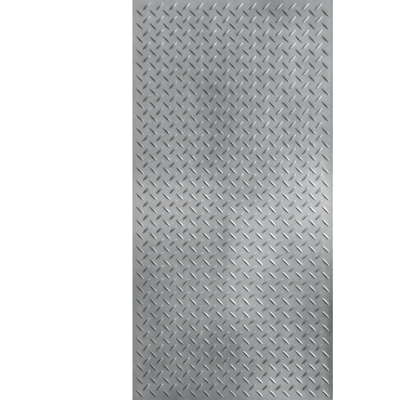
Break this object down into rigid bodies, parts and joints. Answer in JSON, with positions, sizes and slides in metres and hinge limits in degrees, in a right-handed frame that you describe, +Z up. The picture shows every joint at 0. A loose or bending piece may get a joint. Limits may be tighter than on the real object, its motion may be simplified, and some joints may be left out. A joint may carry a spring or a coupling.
{
  "type": "checker steel plate",
  "caption": "Flat rectangular steel sheet with a four-way pattern of raised lens-shaped lugs on its top face, used as non-slip flooring, steps and covers.",
  "frame": {"origin": "middle of the sheet's underside", "axes": "+Z up through the lugs, +Y along the sheet's length, +X across its width"},
  "size_m": [0.5, 1, 0.0045],
  "materials": {
    "steel": "bare mill finish, satin grey with soft lighter and darker patches"
  },
  "bodies": {
    "root": {"checker_plate": "steel"}
  },
  "joints": []
}
